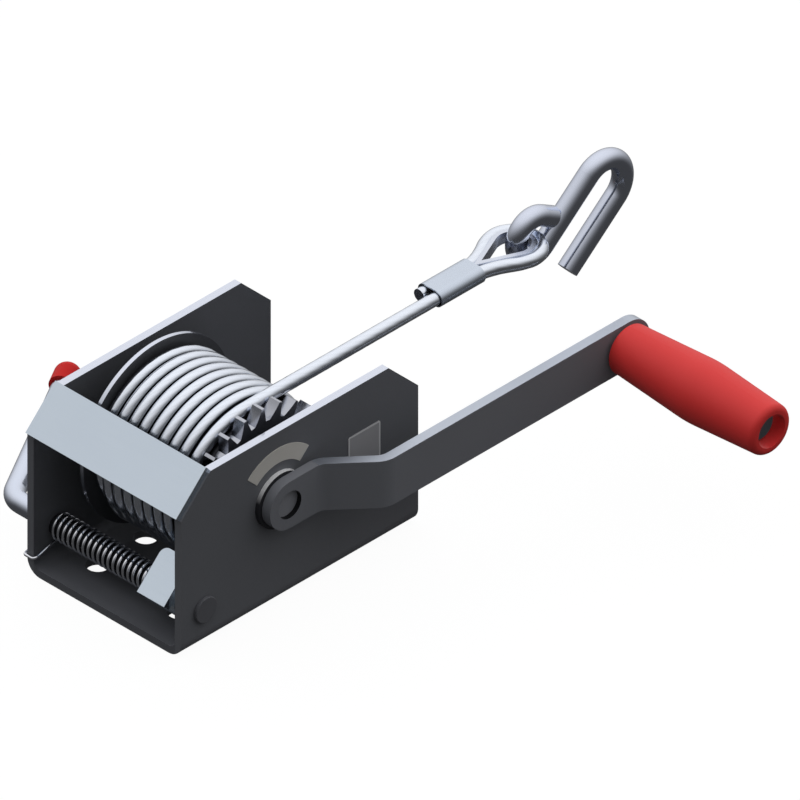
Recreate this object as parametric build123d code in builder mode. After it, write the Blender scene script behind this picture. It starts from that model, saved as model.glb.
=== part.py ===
from build123d import *

import os
from math import cos, pi, radians, sin, sqrt

# Hand-cranked towing winch: a bent steel frame, a rope drum with a toothed wheel, a crank
# with a spinning grip, a spring-loaded pawl with a release lever, and a wire rope with a
# thimble eye and a hook. Millimetres, Z up. X runs along the drum towards the crank and
# Y along the frame towards the pull. The origin is the middle of the base's underside.

# Clearances
fit_gap = 0.05
running_gap = 0.06
clear = 0.3

# Frame and tie plate
frame_length = 148.0
frame_width = 96.0
frame_height = 93.0
plate = 4.0
bend_radius = 8.0
corner_cut = 18.5
base_hole_d = 11.0
base_hole_spacing = 51.0
base_hole_inset = 21.5
base_hole_row = 30.0
tie_inset = 1.0
tie_width = 26.6
tie_thick = 3.0

# Drum axis, shaft and bushes
axis_front = 60.5
axis_z = 57.3
shaft_d = 16.0
bush_wall = 2.5
bush_rim = 3.0
bush_rim_thick = 2.0
spacer_wall = 4.0
shaft_washer_d = 27.0
shaft_washer_thick = 1.5
ring_thick = 1.2
ring_depth = 0.9
ring_height = 2.6
ring_mouth = 7.0
shaft_tail = 0.9
shaft_chamfer = 0.5

# Drum
wheel_side_gap = 6.0
flange_side_gap = 14.5
barrel_d = 32.0
flange_d = 92.0
flange_thick = 2.0

# Toothed wheel
teeth = 24
wheel_tip_d = 85.2
tooth_depth = 7.3
wheel_thick = 6.0
tooth_land = 2.1
tooth_back = 6.9
tooth_lean = 2.2
gullet_sag = 0.9
wheel_phase = 13.0

# Rope on the drum and the stretch that leaves it
rope_d = 6.3
rope_sides = 10
turn_gap = 0.43
end_turn_gap = 0.2
wound_d = 83.1
rope_side_gap = 1.0
ferrule_y = 105.0
rope_tail_r = 28.0
rope_tail_bend = 6.5
rope_tail_length = 28.0
rope_tail_hole_d = 8.4
clamp_length = 12.0
clamp_width = 24.0
clamp_corner = 3.0
clamp_wall = 1.6
clamp_screw_d = 5.0
clamp_screw_spacing = 16.0
clamp_head_d = 8.5
clamp_head_thick = 3.0

# Rope eye: ferrule, thimble and hook
ferrule_length = 27.0
ferrule_wall = 1.1
rope_pair_gap = 0.6
dead_end = 3.5
eye_radius = 12.5
eye_angle = 24.0
eye_neck = 2.0
eye_neck_radius = 12.0
thimble_web = 1.2
thimble_lip = 0.75
thimble_reach = 0.9
hook_d = 10.0
hook_eye_radius = 10.2
hook_eye_close = 8.0
hook_eye_turn = 250.0
hook_slope = 40.0
hook_shank = 37.0
hook_bend_radius = 13.0
hook_tip = 39.0

# Crank and grip
crank_washer_d = 28.6
crank_washer_thick = 2.2
bar_width = 25.0
bar_thick = 5.0
crank_radius = 190.0
arm_tip = 2.4
crank_offset = 19.5
jog_start = 20.1
jog_length = 22.3
jog_radius = 10.0
hub_recess = 2.5
crank_seat_d = 14.0
grip_length = 90.0
grip_end_d = 24.6
grip_belly_d = 30.5
grip_belly_at = 47.0
grip_belly_round = 80.0
grip_lip = 3.0
grip_foot_lip = 1.0
grip_mouth_d = 16.6
grip_mouth_depth = 13.4
axle_d = 10.0
axle_head_d = 14.4
axle_head_thick = 6.4
axle_end = 1.5
axle_chamfer = 0.75
grip_washer_d = 18.0
grip_washer_thick = 0.9
nut_d = 18.0
nut_thick = 2.2
nut_chamfer = 0.8

# Pawl, its shaft with the release lever, and the torsion spring
pawl_front = 14.4
pawl_z = 20.5
pawl_shaft_d = 10.0
pawl_cap_d = 13.0
pawl_cap_thick = 1.5
pawl_cap_roof = 0.8
pawl_cap_round = 0.5
lever_gap = 24.1
lever_angle = 6.5
lever_splay = 28.0
lever_bend = 10.0
lever_length = 87.6
cap_d = 12.8
cap_length = 13.3
cap_round = 5.0
cap_roof = 3.0
pawl_tilt = 45.0
pawl_side_gap = 7.2
pawl_width = 16.8
pawl_top = 11.5
pawl_heel = 8.3
pawl_reach = 15.4
pawl_corner = 4.0
pawl_hub_d = 18.0
pawl_rib = 6.0
nose_width = 6.8
nose_grip = 5.2
nose_land = 2.0
nose_drop = 3.6
nose_root = 5.5
nose_angle = 253.0
nose_gap = 0.8
nose_face_gap = 0.6
pin_d = 3.0
pin_length = 14.0
pin_at = 9.0
pawl_spacer_d = 15.0
spring_wire = 1.5
spring_sides = 6
spring_gap = 0.5
spring_turns = 19
spring_start_angle = 286.0
spring_side_gap = 1.5
spring_hook_z = 9.6
spring_hook_out = 0.5
spring_hook_back = 4.0
spring_hook_bend = 1.6
spring_catch = 4.5
spring_pawl_gap = 2.2

# Places that follow from the sizes above
outer_x = frame_width / 2
inner_x = outer_x - plate
front_y = -frame_length / 2
base_hole_end_y = frame_length / 2 - base_hole_inset
base_hole_middle_y = -base_hole_end_y + base_hole_row
tie_length = frame_width - 2 * tie_inset
axis_y = front_y + axis_front
pawl_y = front_y + pawl_front
lever_x = -outer_x - lever_gap
shaft_r = shaft_d / 2
crank_seat_r = crank_seat_d / 2
bush_r = shaft_r + bush_wall
wheel_x = inner_x - wheel_side_gap - wheel_thick
flange_x = -inner_x + flange_side_gap
rope_space = wheel_x - flange_x - flange_thick
crank_x = outer_x + crank_washer_thick + clear
arm_x = crank_x + crank_offset
grip_y = axis_y + crank_radius
arm_end_y = grip_y + arm_tip
grip_x = arm_x + bar_thick + grip_washer_thick + clear
layer_r = (wound_d - rope_d) / 2
turn_pitch = rope_d + turn_gap
rope_x = wheel_x - rope_side_gap - rope_d / 2
half_turns = int(2 * (rope_space - rope_side_gap - rope_d - 2 * end_turn_gap) / turn_pitch)
rope_z = axis_z + layer_r
pawl_cap_x = outer_x + clear
pawl_shaft_right = pawl_cap_x + pawl_cap_thick - pawl_cap_roof
pawl_right_x = inner_x - pawl_side_gap
pawl_left_x = pawl_right_x - pawl_width
spring_r = (pawl_shaft_d + spring_gap + spring_wire) / 2

drum_axis = Axis((0, axis_y, axis_z), (1, 0, 0))
drum_section = Plane(origin=(0, axis_y, axis_z), x_dir=(1, 0, 0), z_dir=(0, -1, 0))
grip_axis = Axis((0, grip_y, axis_z), (1, 0, 0))
grip_section = Plane(origin=(0, grip_y, axis_z), x_dir=(1, 0, 0), z_dir=(0, -1, 0))
pawl_axis = Axis((0, pawl_y, pawl_z), (1, 0, 0))
pawl_section = Plane(origin=(0, pawl_y, pawl_z), x_dir=(1, 0, 0), z_dir=(0, -1, 0))


def tube(section, axis, x_from, x_to, bore_r, outer_r):
    """A plain turned ring between two places on an axis."""
    with BuildPart() as turned:
        with BuildSketch(section):
            with Locations(((x_from + x_to) / 2, (bore_r + outer_r) / 2)):
                Rectangle(x_to - x_from, outer_r - bore_r)
        revolve(axis=axis)
    return turned


def drum_point(radius, angle):
    """A point around the drum axis, seen from the crank side."""
    turn = radians(angle)
    return (axis_y + radius * cos(turn), axis_z + radius * sin(turn))


def biarc_joint(start, start_way, end, end_way):
    """The point where the two tangent arcs between a pair of points meet."""
    chord = end - start
    ways = start_way + end_way
    bend = 2 - 2 * start_way.dot(end_way)
    along = chord.dot(ways)
    reach = (sqrt(along * along + bend * chord.dot(chord)) - along) / bend
    return ((start + start_way * reach) + (end - end_way * reach)) * 0.5


def wind(knots):
    """Join points and directions with pairs of tangent arcs, inside a line block."""
    for (start, start_way), (end, end_way) in zip(knots, knots[1:]):
        joint = biarc_joint(start, start_way, end, end_way)
        first = TangentArc(start, joint, tangent=start_way)
        TangentArc(joint, end, tangent=first % 1)


def least_gap(path, thickness, turn_length):
    """The least clear space between neighbouring turns, measured on points."""
    count = 1600
    first_turn = 0.6
    last_turn = 1.5
    points = [path @ (i / count) for i in range(count + 1)]
    step = path.length / count
    apart = int(first_turn * turn_length / step)
    near = int(last_turn * turn_length / step)
    gap = min(
        (points[i] - points[j]).length
        for i in range(count + 1)
        for j in range(i + apart, min(i + near, count + 1))
    )
    return round(gap - thickness, 3)


# Frame: a channel bent from one plate, with cut corners
with BuildPart() as frame:
    Box(frame_width, frame_length, frame_height, align=(Align.CENTER, Align.CENTER, Align.MIN))
    fillet(frame.edges().filter_by(Axis.Y).group_by(Axis.Z)[0], bend_radius)
    ends = frame.faces().filter_by(Axis.Y)
    lid = frame.faces().filter_by(Axis.Z).sort_by(Axis.Z)[-1]
    offset(amount=-plate, openings=[*ends, lid])
    with BuildSketch(Plane.YZ):
        for side in (-1, 1):
            with BuildLine():
                corner = (side * frame_length / 2, frame_height)
                Polyline(
                    corner,
                    (corner[0] - side * corner_cut, frame_height),
                    (corner[0], frame_height - corner_cut),
                    close=True,
                )
            make_face()
    extrude(amount=outer_x, both=True, mode=Mode.SUBTRACT)
    with BuildSketch(Plane.XY):
        for row_y in (-base_hole_end_y, base_hole_middle_y, base_hole_end_y):
            with Locations((-base_hole_spacing / 2, row_y), (base_hole_spacing / 2, row_y)):
                Circle(base_hole_d / 2)
    extrude(amount=plate, mode=Mode.SUBTRACT)
    with BuildSketch(Plane.YZ):
        with Locations((axis_y, axis_z)):
            Circle(bush_r + fit_gap)
        with Locations((pawl_y, pawl_z)):
            Circle(pawl_shaft_d / 2 + running_gap)
    extrude(amount=outer_x, both=True, mode=Mode.SUBTRACT)
frame.part.label = "frame"

cut_middle = corner_cut / 2
tie_plane = Plane(
    origin=(0, front_y + cut_middle, frame_height - cut_middle), x_dir=(1, 0, 0), z_dir=(0, -1, 1)
)
with BuildPart() as tie_plate:
    with BuildSketch(tie_plane):
        Rectangle(tie_length, tie_width)
    extrude(amount=tie_thick)
tie_plate.part.label = "tie_plate"


def flanged_bush(side):
    """A plain bearing bush with its rim against the inside of one side plate."""
    rim_x = inner_x - bush_rim_thick
    with BuildPart() as bush:
        with BuildSketch(drum_section):
            with BuildLine():
                Polyline(
                    (side * outer_x, shaft_r + running_gap),
                    (side * outer_x, bush_r),
                    (side * inner_x, bush_r),
                    (side * inner_x, bush_r + bush_rim),
                    (side * rim_x, bush_r + bush_rim),
                    (side * rim_x, shaft_r + running_gap),
                    close=True,
                )
            make_face()
        revolve(axis=drum_axis)
    return bush


left_bush = flanged_bush(-1)
left_bush.part.label = "left_bush"
right_bush = flanged_bush(1)
right_bush.part.label = "right_bush"

# Drum shaft, with its locking ring outside the left plate
ring_x = -outer_x - shaft_washer_thick - clear - ring_thick
shaft_left = ring_x - shaft_tail
shaft_right = crank_x + bar_thick - hub_recess
with BuildPart() as drum_shaft:
    with BuildSketch(drum_section):
        with BuildLine():
            Polyline(
                (shaft_left, 0),
                (shaft_left, shaft_r - shaft_chamfer),
                (shaft_left + shaft_chamfer, shaft_r),
                (ring_x - fit_gap, shaft_r),
                (ring_x - fit_gap, shaft_r - ring_depth),
                (ring_x + ring_thick + fit_gap, shaft_r - ring_depth),
                (ring_x + ring_thick + fit_gap, shaft_r),
                (crank_x, shaft_r),
                (crank_x, crank_seat_r),
                (shaft_right, crank_seat_r),
                (shaft_right, 0),
                close=True,
            )
        make_face()
    revolve(axis=drum_axis)
drum_shaft.part.label = "drum_shaft"

shaft_washer = tube(
    drum_section,
    drum_axis,
    -outer_x - shaft_washer_thick,
    -outer_x,
    shaft_r + clear,
    shaft_washer_d / 2,
)
shaft_washer.part.label = "shaft_washer"


def snap_ring(center, groove_r, x_from):
    """An open spring ring that snaps into a groove round a shaft."""
    ring_outer_r = groove_r + ring_height
    with BuildPart() as ring:
        with BuildSketch(Plane.YZ.offset(x_from)):
            with Locations(center):
                Circle(ring_outer_r)
                Circle(groove_r + fit_gap, mode=Mode.SUBTRACT)
            with Locations((center[0] + ring_outer_r, center[1])):
                Rectangle(2 * ring_outer_r, ring_mouth, mode=Mode.SUBTRACT)
        extrude(amount=ring_thick)
    return ring


shaft_ring = snap_ring((axis_y, axis_z), shaft_r - ring_depth, ring_x)
shaft_ring.part.label = "shaft_ring"

# Drum: barrel, left flange and spacers
bore_r = shaft_r + fit_gap
barrel_left = flange_x + flange_thick
drum_barrel = tube(drum_section, drum_axis, barrel_left, wheel_x, bore_r, barrel_d / 2)
drum_barrel.part.label = "drum_barrel"
left_spacer = tube(
    drum_section, drum_axis, -inner_x + bush_rim_thick + clear, flange_x, bore_r, shaft_r + spacer_wall
)
left_spacer.part.label = "left_spacer"
right_spacer = tube(
    drum_section,
    drum_axis,
    wheel_x + wheel_thick,
    inner_x - bush_rim_thick - clear,
    bore_r,
    shaft_r + spacer_wall,
)
right_spacer.part.label = "right_spacer"

tail_y = axis_y + rope_tail_r
tail_z = axis_z - rope_tail_length / 2
with BuildPart() as drum_flange:
    with BuildSketch(Plane.YZ.offset(flange_x)):
        with Locations((axis_y, axis_z)):
            Circle(flange_d / 2)
            Circle(bore_r, mode=Mode.SUBTRACT)
        with Locations((tail_y, tail_z)):
            Circle(rope_tail_hole_d / 2, mode=Mode.SUBTRACT)
        with Locations(
            (tail_y - clamp_screw_spacing / 2, axis_z), (tail_y + clamp_screw_spacing / 2, axis_z)
        ):
            Circle(clamp_screw_d / 2 + fit_gap, mode=Mode.SUBTRACT)
    extrude(amount=flange_thick)
drum_flange.part.label = "drum_flange"

# Toothed wheel: steep load faces, hollowed backs
tip_r = wheel_tip_d / 2
root_r = tip_r - tooth_depth
tooth_pitch = 360 / teeth
with BuildPart() as ratchet_wheel:
    with BuildSketch(Plane.YZ.offset(wheel_x)):
        with BuildLine():
            for tooth in range(teeth):
                face_angle = wheel_phase + tooth * tooth_pitch
                tip_front = drum_point(tip_r, face_angle)
                tip_back = drum_point(tip_r, face_angle + tooth_land)
                root_front = drum_point(root_r, face_angle + tooth_land + tooth_back)
                root_end = drum_point(root_r, face_angle + tooth_pitch - tooth_lean)
                hollow = drum_point(
                    (tip_r + root_r) / 2 - gullet_sag, face_angle + tooth_land + tooth_back / 2
                )
                Line(tip_front, tip_back)
                ThreePointArc(tip_back, hollow, root_front)
                Line(root_front, root_end)
                Line(root_end, drum_point(tip_r, face_angle + tooth_pitch))
        make_face()
        with Locations((axis_y, axis_z)):
            Circle(bore_r, mode=Mode.SUBTRACT)
    extrude(amount=wheel_thick)
ratchet_wheel.part.label = "ratchet_wheel"

# Rope: the layers underneath as a plain core, the outer layer as real turns
rope_core = tube(
    drum_section,
    drum_axis,
    barrel_left + clear,
    wheel_x - clear,
    barrel_d / 2 + fit_gap,
    layer_r - rope_d / 2 - clear,
)
rope_core.part.label = "rope_core"


def turn_place(center, radius, angle, x):
    """A place on a winding about an axis along X, and its direction for rising angles."""
    turn = radians(angle)
    place = Vector(x, center[0] + radius * cos(turn), center[1] + radius * sin(turn))
    return place, Vector(0, -sin(turn), cos(turn))


rope_knots = []
for step in range(half_turns + 1):
    left_to_go = half_turns - step
    x = rope_x - left_to_go * turn_pitch / 2 - end_turn_gap
    drift = turn_pitch / (2 * pi * layer_r)
    if step == 0:
        x = x - end_turn_gap
        drift = 0
    if step == half_turns:
        x = rope_x
        drift = 0
    place, rising = turn_place((axis_y, axis_z), layer_r, 90 + 180 * left_to_go, x)
    rope_knots.append((place, (Vector(drift, 0, 0) - rising).normalized()))
coil_start, coil_start_way = rope_knots[0]
coil_end, coil_end_way = rope_knots[-1]
with BuildPart() as rope_coil:
    with BuildLine() as coil_path:
        Line(coil_start - coil_start_way * rope_d, coil_start)
        wind(rope_knots)
        Line(coil_end, coil_end + coil_end_way * rope_d)
    coil_wire = coil_path.wires()[0]
    with BuildSketch(Plane(origin=coil_start - coil_start_way * rope_d, z_dir=coil_start_way)):
        RegularPolygon(rope_d / 2, rope_sides)
    sweep(path=coil_wire)
rope_coil.part.label = "rope_coil"
print("least gap between rope turns", least_gap(coil_wire, rope_d, 2 * pi * layer_r))

run_start_y = axis_y + rope_d
eye_start_y = ferrule_y + ferrule_length / 2
with BuildPart() as rope_run:
    with BuildSketch(Plane(origin=(rope_x, run_start_y, rope_z), z_dir=(0, 1, 0))):
        Circle(rope_d / 2)
    extrude(amount=eye_start_y - run_start_y)
rope_run.part.label = "rope_run"

# Rope end clamped on the outside of the drum's left flange
tail_start_x = flange_x + flange_thick - clear
tail_x = flange_x - rope_tail_bend + flange_thick - 2 * clear
with BuildPart() as rope_tail:
    with BuildLine() as tail_path:
        FilletPolyline(
            (tail_start_x, tail_y, tail_z),
            (tail_x, tail_y, tail_z),
            (tail_x, tail_y, tail_z + rope_tail_length + rope_d),
            radius=rope_tail_bend,
        )
    with BuildSketch(Plane(origin=(tail_start_x, tail_y, tail_z), z_dir=(-1, 0, 0))):
        Circle(rope_d / 2)
    sweep(path=tail_path.wires()[0])
rope_tail.part.label = "rope_tail"

clamp_left = tail_x - rope_d / 2 - clamp_wall
clamp_holes = [(-clamp_screw_spacing / 2, 0), (clamp_screw_spacing / 2, 0)]
with BuildPart() as rope_clamp:
    with BuildSketch(Plane.YZ.offset(clamp_left)):
        with Locations((tail_y, axis_z)):
            RectangleRounded(clamp_width, clamp_length, clamp_corner)
            with Locations(*clamp_holes):
                Circle(clamp_screw_d / 2 + fit_gap, mode=Mode.SUBTRACT)
    extrude(amount=flange_x - clamp_left)
    with BuildSketch(Plane(origin=(tail_x, tail_y, axis_z))):
        Circle(rope_d / 2 + fit_gap)
    extrude(amount=clamp_length, both=True, mode=Mode.SUBTRACT)
rope_clamp.part.label = "rope_clamp"

with BuildPart() as clamp_screws:
    with BuildSketch(Plane.YZ.offset(clamp_left)):
        with Locations((tail_y, axis_z)):
            with Locations(*clamp_holes):
                Circle(clamp_screw_d / 2)
    extrude(amount=flange_x + flange_thick - clamp_left)
    with BuildSketch(Plane.YZ.offset(clamp_left)):
        with Locations((tail_y, axis_z)):
            with Locations(*clamp_holes):
                Circle(clamp_head_d / 2)
    extrude(amount=-clamp_head_thick)
clamp_screws.part.label = "clamp_screws"

# Rope eye: the rope turns back round the thimble and into the ferrule
pair_spacing = rope_d + rope_pair_gap
eye_x = rope_x - pair_spacing / 2
eye_plane = Plane(origin=(eye_x, 0, rope_z))
neck_y = ferrule_y + ferrule_length + eye_neck
eye_slant = radians(eye_angle)
neck_apex_y = neck_y - pair_spacing / 2 * cos(eye_slant) / sin(eye_slant)
eye_y = neck_apex_y + eye_radius / sin(eye_slant)


def eye_tangent(radius, side):
    """The point where a straight leg of the eye runs into its round end."""
    return (side * radius * cos(eye_slant), eye_y - radius * sin(eye_slant))


with BuildPart() as rope_eye:
    with BuildLine(eye_plane) as eye_path:
        half_pair = pair_spacing / 2
        FilletPolyline(
            (half_pair, eye_start_y),
            (half_pair, neck_y),
            eye_tangent(eye_radius, 1),
            radius=eye_neck_radius,
        )
        CenterArc((0, eye_y), eye_radius, -eye_angle, 180 + 2 * eye_angle)
        FilletPolyline(
            eye_tangent(eye_radius, -1),
            (-half_pair, neck_y),
            (-half_pair, ferrule_y - dead_end),
            radius=eye_neck_radius,
        )
    with BuildSketch(Plane(origin=(rope_x, eye_start_y, rope_z), z_dir=(0, 1, 0))):
        Circle(rope_d / 2)
    sweep(path=eye_path.wires()[0])
rope_eye.part.label = "rope_eye"

ferrule_height = rope_d + 2 * ferrule_wall
with BuildPart() as ferrule:
    with BuildSketch(Plane(origin=(eye_x, ferrule_y, rope_z), x_dir=(1, 0, 0), z_dir=(0, 1, 0))):
        SlotCenterToCenter(pair_spacing, ferrule_height)
        with Locations((-pair_spacing / 2, 0), (pair_spacing / 2, 0)):
            Circle(rope_d / 2 + fit_gap, mode=Mode.SUBTRACT)
    extrude(amount=ferrule_length)
ferrule.part.label = "ferrule"


def eye_outline(radius, height):
    """A filled teardrop concentric with the rope eye, at a height from its middle."""
    apex = (0, eye_y - radius / sin(eye_slant))
    with BuildSketch(eye_plane.offset(height)) as outline:
        with BuildLine():
            Line(apex, eye_tangent(radius, 1))
            CenterArc((0, eye_y), radius, -eye_angle, 180 + 2 * eye_angle)
            Line(eye_tangent(radius, -1), apex)
        make_face()
    return outline.sketch


web_outer_r = eye_radius - rope_d / 2 - fit_gap
web_inner_r = web_outer_r - thimble_web
lip_bed = rope_d / 2 + fit_gap
lip_from = sqrt(lip_bed**2 - (lip_bed - thimble_reach) ** 2)
thimble_half = lip_from + thimble_lip
with BuildPart() as thimble:
    extrude(eye_outline(web_outer_r, 0), amount=thimble_half, both=True)
    for lip_z in (lip_from, -thimble_half):
        extrude(eye_outline(web_outer_r + thimble_reach, lip_z), amount=thimble_lip)
    extrude(eye_outline(web_inner_r, 0), amount=thimble_half, both=True, mode=Mode.SUBTRACT)
    with BuildSketch(eye_plane):
        with Locations((0, ferrule_y + ferrule_length + clear)):
            Rectangle(4 * eye_radius, 4 * eye_radius, align=(Align.CENTER, Align.MAX))
    extrude(amount=2 * thimble_half, both=True, mode=Mode.SUBTRACT)
thimble.part.label = "thimble"

# Hook: one bent rod, its eye closed round the end of the thimble
bar_inner_y = eye_y + web_inner_r
bar_outer_y = eye_y + eye_radius + rope_d / 2
hook_y = (bar_inner_y + bar_outer_y) / 2
slope = radians(hook_slope)
shank_way = Vector(0, cos(slope), sin(slope))
shank_side = Vector(0, sin(slope), -cos(slope))
hook_center = Vector(eye_x, hook_y, rope_z)
mouth_turn = radians(hook_slope - 90 - hook_eye_turn)
eye_mouth = hook_center + Vector(0, cos(mouth_turn), sin(mouth_turn)) * hook_eye_radius
mouth_way = Vector(0, sin(mouth_turn), -cos(mouth_turn))
eye_end = eye_mouth + mouth_way * hook_eye_close
shank_foot = hook_center + shank_side * hook_eye_radius
shank_head = shank_foot + shank_way * hook_shank
tip_head = shank_head + shank_side * 2 * hook_bend_radius
with BuildPart() as hook:
    with BuildLine() as hook_path:
        Line(eye_end, eye_mouth)
        TangentArc(eye_mouth, shank_foot, tangent=mouth_way * -1)
        Line(shank_foot, shank_head)
        TangentArc(shank_head, tip_head, tangent=shank_way)
        Line(tip_head, tip_head - shank_way * hook_tip)
    with BuildSketch(Plane(origin=eye_end, z_dir=mouth_way * -1)):
        Circle(hook_d / 2)
    sweep(path=hook_path.wires()[0])
hook.part.label = "hook"

# Crank: a flat bar with a jog, round at both ends
crank_washer = tube(
    drum_section,
    drum_axis,
    outer_x,
    outer_x + crank_washer_thick,
    shaft_r + clear,
    crank_washer_d / 2,
)
crank_washer.part.label = "crank_washer"

with BuildPart() as crank_arm:
    with BuildLine() as crank_path:
        FilletPolyline(
            (crank_x + bar_thick / 2, axis_y - bar_width, axis_z),
            (crank_x + bar_thick / 2, axis_y + jog_start, axis_z),
            (arm_x + bar_thick / 2, axis_y + jog_start + jog_length, axis_z),
            (arm_x + bar_thick / 2, arm_end_y + bar_width, axis_z),
            radius=jog_radius,
        )
    with BuildSketch(Plane(origin=crank_path.wires()[0] @ 0, x_dir=(1, 0, 0), z_dir=(0, 1, 0))):
        Rectangle(bar_thick, bar_width)
    sweep(path=crank_path.wires()[0])
    with BuildSketch(Plane.YZ):
        with Locations(((axis_y + arm_end_y) / 2, axis_z)):
            SlotCenterToCenter(arm_end_y - axis_y, bar_width)
    extrude(amount=2 * arm_x, mode=Mode.INTERSECT)
    with BuildSketch(Plane.YZ):
        with Locations((axis_y, axis_z)):
            Circle(crank_seat_r + fit_gap)
        with Locations((grip_y, axis_z)):
            Circle(axle_d / 2 + fit_gap)
    extrude(amount=2 * arm_x, mode=Mode.SUBTRACT)
crank_arm.part.label = "crank_arm"

# Grip on its axle bolt
mouth_x = grip_x + grip_length - grip_mouth_depth
with BuildPart() as grip:
    with BuildSketch(grip_section):
        with BuildLine():
            end_r = grip_end_d / 2
            bore = axle_d / 2 + clear
            Polyline(
                (grip_x, end_r),
                (grip_x + grip_belly_at, grip_belly_d / 2),
                (grip_x + grip_length, end_r),
                (grip_x + grip_length, grip_mouth_d / 2),
                (mouth_x, grip_mouth_d / 2),
                (mouth_x, bore),
                (grip_x, bore),
                close=True,
            )
        make_face()
    revolve(axis=grip_axis)
    rims = grip.edges().filter_by(GeomType.CIRCLE).group_by(Axis.X)
    fillet(rims[-1].sort_by(SortBy.RADIUS)[-1], grip_lip)
    fillet(rims[0].sort_by(SortBy.RADIUS)[-1], grip_foot_lip)
    belly = grip.edges().filter_by(GeomType.CIRCLE).sort_by(SortBy.RADIUS)[-1]
    fillet(belly, grip_belly_round)
grip.part.label = "grip"

head_x = mouth_x + clear
nut_x = arm_x - nut_thick
with BuildPart() as grip_axle:
    with BuildSketch(grip_section):
        with BuildLine():
            Polyline(
                (nut_x - axle_end, 0),
                (nut_x - axle_end, axle_d / 2 - axle_chamfer),
                (nut_x - axle_end + axle_chamfer, axle_d / 2),
                (head_x, axle_d / 2),
                (head_x, axle_head_d / 2),
                (head_x + axle_head_thick, axle_head_d / 2),
                (head_x + axle_head_thick, 0),
                close=True,
            )
        make_face()
    revolve(axis=grip_axis)
grip_axle.part.label = "grip_axle"

grip_washer = tube(
    grip_section,
    grip_axis,
    arm_x + bar_thick,
    arm_x + bar_thick + grip_washer_thick,
    axle_d / 2 + fit_gap,
    grip_washer_d / 2,
)
grip_washer.part.label = "grip_washer"

with BuildPart() as grip_nut:
    with BuildSketch(Plane.YZ.offset(nut_x)):
        with Locations((grip_y, axis_z)):
            Circle(nut_d / 2)
            Circle(axle_d / 2 + fit_gap, mode=Mode.SUBTRACT)
    extrude(amount=nut_thick)
    nut_rims = grip_nut.edges().filter_by(GeomType.CIRCLE).group_by(Axis.X)[0]
    chamfer(nut_rims.sort_by(SortBy.RADIUS)[-1], nut_chamfer)
grip_nut.part.label = "grip_nut"

# Pawl shaft: a rod through both plates, bent outside as the release lever
lever_turn = radians(lever_angle)
lever_out = radians(lever_splay)
lever_way = Vector(-sin(lever_out), cos(lever_out) * cos(lever_turn), cos(lever_out) * sin(lever_turn))
lever_foot = Vector(lever_x, pawl_y, pawl_z)
lever_end = lever_foot + lever_way * lever_length
pin_x = pawl_left_x + pin_at
pin_plane = Plane(
    origin=(pin_x, pawl_y, pawl_z),
    x_dir=(1, 0, 0),
    z_dir=(0, sin(radians(pawl_tilt)), -cos(radians(pawl_tilt))),
)
pawl_ring_x = -outer_x - clear - ring_thick
pawl_groove_r = pawl_shaft_d / 2 - ring_depth
with BuildPart() as pawl_shaft:
    with BuildLine() as lever_path:
        FilletPolyline(
            (pawl_shaft_right, pawl_y, pawl_z), lever_foot, lever_end, radius=lever_bend
        )
    with BuildSketch(Plane(origin=(pawl_shaft_right, pawl_y, pawl_z), z_dir=(-1, 0, 0))):
        Circle(pawl_shaft_d / 2)
    sweep(path=lever_path.wires()[0])
    with BuildSketch(Plane.YZ.offset(pawl_ring_x - fit_gap)):
        with Locations((pawl_y, pawl_z)):
            Circle(pawl_shaft_d)
            Circle(pawl_groove_r, mode=Mode.SUBTRACT)
    extrude(amount=ring_thick + 2 * fit_gap, mode=Mode.SUBTRACT)
    with BuildSketch(pin_plane):
        Circle(pin_d / 2 + fit_gap)
    extrude(amount=pawl_shaft_d, both=True, mode=Mode.SUBTRACT)
pawl_shaft.part.label = "pawl_shaft"

cap_plane = Plane(origin=lever_end - lever_way * (cap_length - cap_roof), z_dir=lever_way)
with BuildPart() as lever_cap:
    with BuildSketch(cap_plane):
        Circle(cap_d / 2)
    extrude(amount=cap_length)
    cap_top = lever_cap.faces().sort_by(Axis(cap_plane.origin, cap_plane.z_dir))[-1]
    fillet(cap_top.edges(), cap_round)
    with BuildSketch(cap_plane):
        Circle(pawl_shaft_d / 2 + fit_gap)
    extrude(amount=cap_length - cap_roof, mode=Mode.SUBTRACT)
lever_cap.part.label = "lever_cap"

with BuildPart() as pawl_cap:
    with BuildSketch(Plane.YZ.offset(pawl_cap_x)):
        with Locations((pawl_y, pawl_z)):
            Circle(pawl_cap_d / 2)
    extrude(amount=pawl_cap_thick)
    fillet(pawl_cap.edges().sort_by(Axis.X)[-1], pawl_cap_round)
    with BuildSketch(Plane.YZ.offset(pawl_cap_x)):
        with Locations((pawl_y, pawl_z)):
            Circle(pawl_shaft_d / 2 + fit_gap)
    extrude(amount=pawl_cap_thick - pawl_cap_roof, mode=Mode.SUBTRACT)
pawl_cap.part.label = "pawl_cap"

pawl_ring = snap_ring((pawl_y, pawl_z), pawl_groove_r, pawl_ring_x)
pawl_ring.part.label = "pawl_ring"
nose_x = wheel_x + wheel_thick / 2 - nose_width / 2
pawl_spacer = tube(
    pawl_section,
    pawl_axis,
    nose_x + nose_width,
    inner_x - clear,
    pawl_shaft_d / 2 + fit_gap,
    pawl_spacer_d / 2,
)
pawl_spacer.part.label = "pawl_spacer"

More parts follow.
